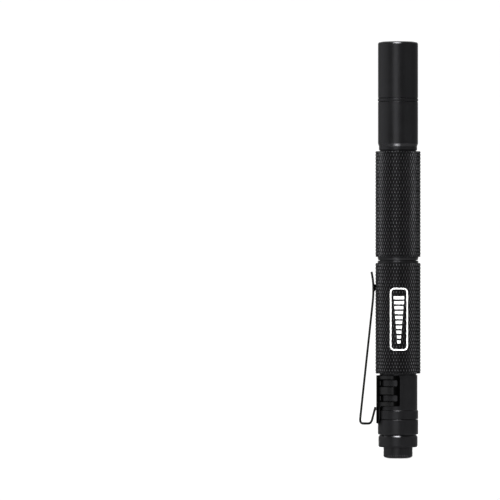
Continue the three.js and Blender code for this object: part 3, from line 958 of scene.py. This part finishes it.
def circuit_board():
    look = Finish("circuit_board_look")
    weave = look.noise(1, 2, look.stretch((2500, 2500, 200)))
    copper = look.node(
        "ShaderNodeTexBrick", {"Vector": look.here, "Scale": 500.0, "Mortar Size": 0.03}, offset=0.5
    )
    share = look.ranged(copper.outputs["Fac"], 0.0, 1.0, 0.0, 0.35)
    green = look.mixed(weave, (0.01, 0.09, 0.035, 1), (0.015, 0.12, 0.05, 1))
    look.set(Base_Color=look.mixed(share, green, (0.03, 0.2, 0.09, 1)), Roughness=0.35)
    return look.bump(copper.outputs["Fac"], 0.3, 0.02).material


def cell_sleeve():
    """A shrink sleeve with a plain band near the button end, and bare steel at both ends."""
    look = Finish("cell_sleeve_look")
    _, _, z = look.axes()
    low, _ = span("battery_rear")
    next_low, _ = span("battery_front")
    pitch = next_low[2] - low[2]
    share = look.math("FRACT", look.math("DIVIDE", look.math("SUBTRACT", z, low[2] * MM), pitch * MM))
    cloud = look.noise(300, 3)
    band = look.math("GREATER_THAN", share, 0.74)
    colour = look.mixed(band, (0.035, 0.11, 0.22, 1), (0.55, 0.42, 0.16, 1))
    inner = look.math("LESS_THAN", look.from_axis(), 4.6 * MM)
    colour = look.mixed(inner, colour, grey(0.6))
    look.set(
        Base_Color=colour,
        Roughness=look.ranged(cloud, 0.3, 0.7, 0.26, 0.38),
        Metallic=look.ranged(inner, 0.0, 1.0, 0.3, 1.0),
    )
    return look.bump(cloud, 0.1, 0.02).material


def glass(name, tint):
    look = Finish(name)
    dust = look.noise(700, 3)
    roughness = look.ranged(dust, 0.4, 0.8, 0.01, 0.05)
    look.set(Base_Color=tint, Roughness=roughness, Transmission_Weight=1.0, IOR=1.5)
    return look.material


def phosphor():
    look = Finish("led_phosphor_look")
    grains = look.noise(6000, 2)
    look.set(
        Base_Color=look.mixed(grains, (0.85, 0.62, 0.08, 1), (0.95, 0.78, 0.2, 1)),
        Roughness=look.ranged(grains, 0.3, 0.7, 0.3, 0.45),
        Coat_Weight=0.8,
    )
    return look.bump(grains, 0.2, 0.01).material


BLACK = anodised("black_anodised_look")
BLACK_WITH_MARK = anodised("black_anodised_marked_look", mark=True)
STEEL = spring_steel()
WIRE = bright_metal("spring_wire_look", grey(0.42, 1.02), grey(0.6, 1.02), 0.24)
BRASS = bright_metal("brass_look", (0.52, 0.36, 0.12, 1), (0.7, 0.5, 0.2, 1), 0.3)
BRIGHT = bright_metal("bright_reflector_look", grey(0.78), grey(0.88), 0.12, 1200)
MIRROR = bright_metal("mirror_silver_look", grey(0.9), grey(0.94), 0.04, 300)
RUBBER = moulded("black_rubber_look", grey(0.012), grey(0.022), 0.62)
NYLON = moulded("white_nylon_look", (0.72, 0.7, 0.62, 1), (0.8, 0.78, 0.71, 1), 0.48)
LED_BOARD = moulded("led_board_white_look", grey(0.78, 0.98), grey(0.86, 0.98), 0.35, 3000, 0.01)
BOARD = circuit_board()
SLEEVE = cell_sleeve()
GLASS = glass("optical_glass_look", (0.93, 0.98, 0.99, 1))
PHOSPHOR = phosphor()


# ---------- push button and tail ----------


def button_teeth(radii, heights, angles):
    """Cuts radial teeth into the button's sloping rim."""
    depth = 0.36
    slant = 0.55
    fade_start, fade_end = 0.85, 1.1
    inner_start, inner_end = 3.15, 3.6
    groove = np.maximum(np.cos(BUTTON_TEETH * angles), 0) ** 0.7
    low = np.clip((fade_end - heights) / (fade_end - fade_start), 0, 1)
    out = np.clip((radii - inner_start) / (inner_end - inner_start), 0, 1)
    share = groove * low * out * (radii > inner_start)
    return radii - depth * share, heights + slant * depth * share * (heights < fade_start)


def push_button():
    """The CAD outline with a rounder rim, and rows along it for the teeth."""
    points, closed = cad_outline("button_cap")
    outside = [point for point in points if point[1] < 1]
    face = max((point for point in outside if point[1] == 0), key=lambda point: point[0])
    corner = max(outside, key=lambda point: point[1])
    swell = np.array((corner[0] - 0.25, 0.12))
    tooth_rows = (1.0, 1.15, 1.3)
    rim = quadratic(face, swell, corner, 8)[1:-1]
    above = [np.array((corner[0], height)) for height in tooth_rows]
    first = next(index for index, point in enumerate(points) if point is face)
    last = next(index for index, point in enumerate(points) if point is corner)
    if first > last:
        points = points[::-1]
        first, last = len(points) - 1 - first, len(points) - 1 - last
    points = points[: first + 1] + rim + [corner] + above + points[last + 1 :]
    piece = turned_piece("button_cap_detail", points, closed, BUTTON_TEETH * 6, button_teeth, 0.05)
    dressed(piece, BLACK, "button_cap")


def springs():
    """The switch's straight spring and the cells' tapered one, each coiled between the ends of its CAD
    node's box.
    """
    turns = 4
    low, high = span("return_spring")
    wire_radius = 0.2
    radius = high[0] - wire_radius
    path = coil_path(radius, radius, low[2] + wire_radius, high[2] - wire_radius, turns)
    piece = build("return_spring_detail", *wire(path, wire_radius))
    piece.data.materials.append(WIRE)
    start, end = (0, 0, high[2] * MM), (0, 0, low[2] * MM)
    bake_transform(piece)
    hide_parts("return_spring")
    SLOT_OF["return_spring"]

    low, high = span("battery_spring")
    wire_radius = 0.25
    bottom_radius, top_radius = 3.3, 1.8
    path = coil_path(bottom_radius, top_radius, low[2] + wire_radius, high[2] - wire_radius, turns)
    piece = build("battery_spring_detail", *wire(path, wire_radius))
    piece.data.materials.append(WIRE)
    start, end = (0, 0, low[2] * MM), (0, 0, high[2] * MM)
    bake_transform(piece)
    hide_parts("battery_spring")
    SLOT_OF["battery_spring"]


def seal(node):
    """A round rubber ring in the middle of its CAD node's box."""
    low, high = span(node)
    wire_radius = (high[2] - low[2]) / 2
    centre = (high[0] - wire_radius, (low[2] + high[2]) / 2)
    vertices, faces, _ = turned(circle(centre, wire_radius), True)
    dressed(build(node + "_detail", vertices, faces), RUBBER, node)


push_button()
springs()
from_cad("switch_bezel", BLACK)
from_cad("tail_cap", BLACK)
for plain in ("switch_plunger", "switch_housing"):
    from_cad(plain, NYLON, INNER_SEGMENTS)
for plain in ("switch_contact", "switch_retainer", "lens_ring", "driver_contact", "led_holder"):
    from_cad(plain, BRASS, INNER_SEGMENTS)
for ring in ("tail_oring", "mid_oring", "head_oring", "cap_oring"):
    seal(ring)
for cell in ("battery_rear", "battery_front"):
    from_cad(cell, SLEEVE, fillet=0.3)


# ---------- barrels ----------

THREAD = {"low": 57.2, "high": 63.6, "pitch": 1.0, "depth": 0.26, "crest": 5.97}
THREAD_ROWS = {"radius": 6.0, "low": 57.0, "high": 63.8, "step": 0.1}


def thread(radii, heights, angles):
    """A screw thread on the front barrel's spigot."""
    low, high, pitch, depth, crest = THREAD.values()
    fade = 0.5
    spigot_band = 0.1
    on_spigot = (radii > crest) & (radii < crest + spigot_band)
    ends = np.clip(np.minimum(heights - low, high - heights) / fade, 0, 1)
    turn = (heights / pitch - angles / TAU) % 1
    wave = np.clip(1.6 * np.abs(turn * 2 - 1) - 0.3, 0, 1)
    return radii - depth * wave * ends * on_spigot, heights


def with_thread_rows(outline):
    """The outline with rows fine enough for the thread, a little past both of its ends."""
    return finely(outline, **THREAD_ROWS)


knurled_barrel("rear_barrel", BLACK_WITH_MARK)
knurled_barrel("front_barrel", BLACK, with_thread_rows, thread)
from_cad("head_tube", BLACK)
from_cad("cap", BLACK)


# ---------- clip ----------


def clip():
    collar = build("clip_collar_detail", *sheet(collar_plan(), COLLAR_SHEET, round_the_barrel))
    dressed(collar, STEEL, "clip_collar")

    path = [np.array(point) for point in ((-7.42, 16.7), (-7.72, 15.5), (-8.45, 12.7))]
    path += quadratic(path[-1], (-8.8, U_BEND_HEIGHT), (-9.7, U_BEND_HEIGHT))[1:]
    path += [np.array((-11.3, U_BEND_HEIGHT))]
    path += quadratic(path[-1], (-12.5, U_BEND_HEIGHT), (-12.36, 12.96))[1:]
    path += [np.array((-8.3, 50.8))]
    path += quadratic(path[-1], (-7.85, 55.3), (-8.25, 58.6), 20)[1:]
    path += [np.array((-8.65, 61.0))]
    path = stretched(path, 0.35)
    blade = build("clip_strip_detail", *strip(path, CLIP_WIDTH, CLIP_SHEET, (55.8, 1.25, 0.45)))
    foot_path = stretched([np.array((-6.75, 15.97)), np.array((-7.66, 15.97))], 0.2)
    foot = build("clip_foot", *strip(foot_path, CLIP_WIDTH - 0.6, 0.42, end_round=0.1))
    blade = joined(blade, foot)
    blade.data.materials.append(STEEL)
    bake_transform(blade)
    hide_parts("clip_leaf")
    SLOT_OF["clip_leaf"]


clip()


# ---------- lamp ----------


def lamp():
    from_cad("driver_board", BOARD, INNER_SEGMENTS)
    from_cad("led_board", LED_BOARD, INNER_SEGMENTS)

    low, high = span("led_emitter")
    base_radius, dome_radius, base_top, dome_base = 1.7, 1.3, low[2] + 0.5, low[2] + 0.55
    base = [(0, low[2]), (base_radius, low[2]), (base_radius, base_top), (dome_radius, base_top)]
    points = [np.array(point, float) for point in base]
    points += arc(dome_radius, dome_base, high[2] - dome_base)
    points[-1][0] = 0
    dressed(turned_piece("led_emitter_detail", points, False, SMALL_SEGMENTS), PHOSPHOR, "led_emitter")

    low, high = span("reflector")
    outer, throat, mouth = 5.6, 2.1, 5.1
    bowl = []
    for t in np.linspace(0, 1, 12):
        bowl.append(np.array((throat + (mouth - throat) * t, low[2] + (high[2] - low[2]) * t**1.7)))
    points = [np.array((outer, low[2])), np.array((outer, high[2])), *bowl[::-1]]
    dressed(turned_piece("reflector_detail", points, True, fillet=0.03), BRIGHT, "reflector")

    for node, edge in (("condenser_lens", 0.7), ("projection_lens", 0.6)):
        low, high = span(node)
        points = [np.array((0, low[2])), np.array((high[0], low[2]))]
        points += arc(high[0], low[2] + edge, high[2] - low[2] - edge, 16)
        points[-1][0] = 0
        lens = turned_piece(node + "_detail", points, False, INNER_SEGMENTS, fillet=0.05)
        dressed(lens, GLASS, node)


lamp()


# ---------- nose ----------


def nose():
    """The nose tube with its window, sight hole, tilted mirror and the carrier that holds the mirror."""
    window_height, sight_height, screw_height = 126.2, 128.1, 131.4
    from_cad("aperture_disc", BLACK, INNER_SEGMENTS)
    body = [
        (4.6, 113.8), (5.65, 113.8), (5.65, 116.63), (6.4, 116.63), (6.4, 116.8), (6.6, 116.8),
        (6.6, 117.6), (6.4, 117.6), (6.4, 117.76), (5.5, 117.76),
        (5.5, 118.6), (5.25, 118.6), (5.25, 119.2), (5.5, 119.2), (5.5, 132.9), (4.6, 132.9),
    ]
    tube = turned_piece("nose_tube_detail", body, True)
    bored(
        tube,
        drill(2.7, (0, -6.5, window_height), 4, "+Y"),
        drill(1.4, (0, 2.6, sight_height), 4, "+Y"),
        drill(2.25, (0, 4.9, sight_height), 2, "+Y"),
        drill(0.85, (3.0, 0, screw_height), 4, "+X"),
    )
    dressed(tube, BLACK, "nose_tube")

    plug = [(0, 121.7), (4.4, 121.7), (4.4, 133.05), (5.5, 133.05), (5.5, 133.8), (0, 133.8)]
    carrier = turned_piece("mirror_carrier_detail", plug, False)
    made = bmesh.new()
    made.from_mesh(carrier.data)
    normal = Vector((0, 1, 1)).normalized()
    everything = [*made.verts, *made.edges, *made.faces]
    found = bmesh.ops.bisect_plane(
        made, geom=everything, plane_co=Vector((0, 0, 125.85)) * MM, plane_no=normal, clear_inner=True
    )
    rim = [item for item in found["geom_cut"] if isinstance(item, bmesh.types.BMEdge)]
    bmesh.ops.contextual_create(made, geom=rim)
    bmesh.ops.recalc_face_normals(made, faces=made.faces)
    made.to_mesh(carrier.data)
    made.free()
    bored(carrier, drill(1.1, (0, -6, sight_height), 12, "+Y"))
    dressed(carrier, BLACK, "mirror_carrier")

    disc = [(0, 0), (2.6, 0), (2.6, 0.6), (0, 0.6)]
    mirror = turned_piece("mirror_detail", disc, False, INNER_SEGMENTS)
    dressed(placed(mirror, -45, "X", (0, 0, 124.6)), MIRROR, "mirror")

    pane = [(0, 0), (2.5, 0), (2.5, 0.5), (0, 0.5)]
    window = turned_piece("front_window_detail", pane, False, INNER_SEGMENTS)
    dressed(placed(window, -90, "X", (0, -4.6, window_height)), GLASS, "front_window")

    washer = [(1.3, 0), (2.1, 0), (2.1, 0.4), (1.3, 0.4)]
    cushion = turned_piece("sight_ring_detail", washer, True, INNER_SEGMENTS, fillet=0.15)
    dressed(placed(cushion, -90, "X", (0, 4.95, sight_height)), RUBBER, "sight_ring")

    stud = [(0, 0), (0.7, 0), (0.7, 0.9), (0, 0.9)]
    screw = turned_piece("carrier_set_screw_detail", stud, False, SMALL_SEGMENTS)
    hexagon = [(0, 0.45), (0.38, 0.45), (0.38, 1.2), (0, 1.2)]
    vertices, faces, _ = turned([np.array(point) for point in hexagon], False, 6)
    bored(screw, build("hex_tool", vertices, faces))
    dressed(placed(screw, 90, "Y", (4.45, 0, screw_height)), WIRE, "carrier_set_screw")


nose()


# ---------- studio ----------


def studio_sweep():
    """A pale floor that curves up into a round backdrop, bright behind the pen and dimmer before it."""
    floor, floor_radius, curve, top, steps = -0.2, 3000, 800, 3400, 12
    profile = [np.array((0.0, floor)), np.array((floor_radius, floor))]
    for step in range(1, steps + 1):
        angle = math.pi / 2 * step / steps
        reach, rise = curve * math.sin(angle), curve * (1 - math.cos(angle))
        profile.append(np.array((floor_radius + reach, floor + rise)))
    profile.append(np.array((floor_radius + curve, top)))
    vertices, faces, _ = turned(profile, False, INNER_SEGMENTS)
    sweep = build("studio_sweep", vertices, faces)

    paper = Finish("studio_paper")
    _, y, _ = paper.axes()
    reach = paper.from_axis()
    behind = paper.math("DIVIDE", y, paper.math("MAXIMUM", reach, 0.001))
    glow = {"near": 0.68, "front": 0.13, "back": 0.9}
    far = paper.smooth_ranged(behind, -0.3, 0.6, glow["front"], glow["back"])
    share = paper.smooth_ranged(reach, 0.2, 1.1, 0.0, 1.0)
    fibres = paper.noise(60, 3)
    paper.set(
        Base_Color=paper.mixed(fibres, grey(0.2), grey(0.22)),
        Roughness=0.9,
        Emission_Strength=paper.blended(share, glow["near"], far),
        Emission_Color=grey(1.0),
    )
    sweep.data.materials.append(paper.material)


def soft_light(name, azimuth, elevation, distance, size, radiance, target=(0, 0, 0.07), spread=180):
    """A rectangular soft light, in metres. Azimuth is from the camera's side towards +X, in degrees."""
    light = bpy.data.lights.new(name, "AREA")
    light.shape = "RECTANGLE"
    light.size, light.size_y = size
    light.energy = radiance * math.pi * size[0] * size[1]
    light.spread = math.radians(spread)
    lamp_object = bpy.data.objects.new(name, light)
    a, e = math.radians(azimuth), math.radians(elevation)
    offset = Vector((math.sin(a) * math.cos(e), -math.cos(a) * math.cos(e), math.sin(e))) * distance
    lamp_object.location = Vector(target) + offset
    lamp_object.rotation_euler = offset.to_track_quat("Z", "Y").to_euler()
    lamp_object.visible_camera = False
    bpy.context.scene.collection.objects.link(lamp_object)


def studio():
    studio_sweep()
    soft_light("key_strip", -12.5, 3, 0.75, (0.34, 0.8), 4.4)
    soft_light("top_strip", -8, 57, 0.75, (0.36, 0.3), 6.0, spread=60)
    soft_light("low_strip", -8, -38, 0.158, (0.14, 0.04), 1.5, (0, 0, 0.098), 36)
    soft_light("left_wall", -90, 5, 0.8, (1.1, 0.9), 1.7)
    soft_light("right_wall", 62, 5, 0.8, (0.8, 0.9), 0.75)
    soft_light("overhead", -90, 85, 0.9, (0.6, 0.42), 10.0)
    world = bpy.data.worlds.new("studio_air")
    world.use_nodes = True
    background = world.node_tree.nodes["Background"].inputs
    background["Color"].default_value = grey(1.0)
    background["Strength"].default_value = 0.14
    scene = bpy.context.scene
    scene.world = world
    scene.view_settings.view_transform = "Standard"


def camera():
    """Far away with a long lens, because the seams look straight. Metres, degrees and millimetres."""
    distance, height, yaw, lens = 2.5, 0.0681, 1.11, 550
    data = bpy.data.cameras.new("photo_camera")
    data.lens = lens
    data.clip_start, data.clip_end = 0.01, 20
    made = bpy.data.objects.new("photo_camera", data)
    made.location = (0, -distance, height)
    made.rotation_euler = (math.pi / 2, 0, math.radians(yaw))
    bpy.context.scene.collection.objects.link(made)
    bpy.context.scene.camera = made


studio()
camera()
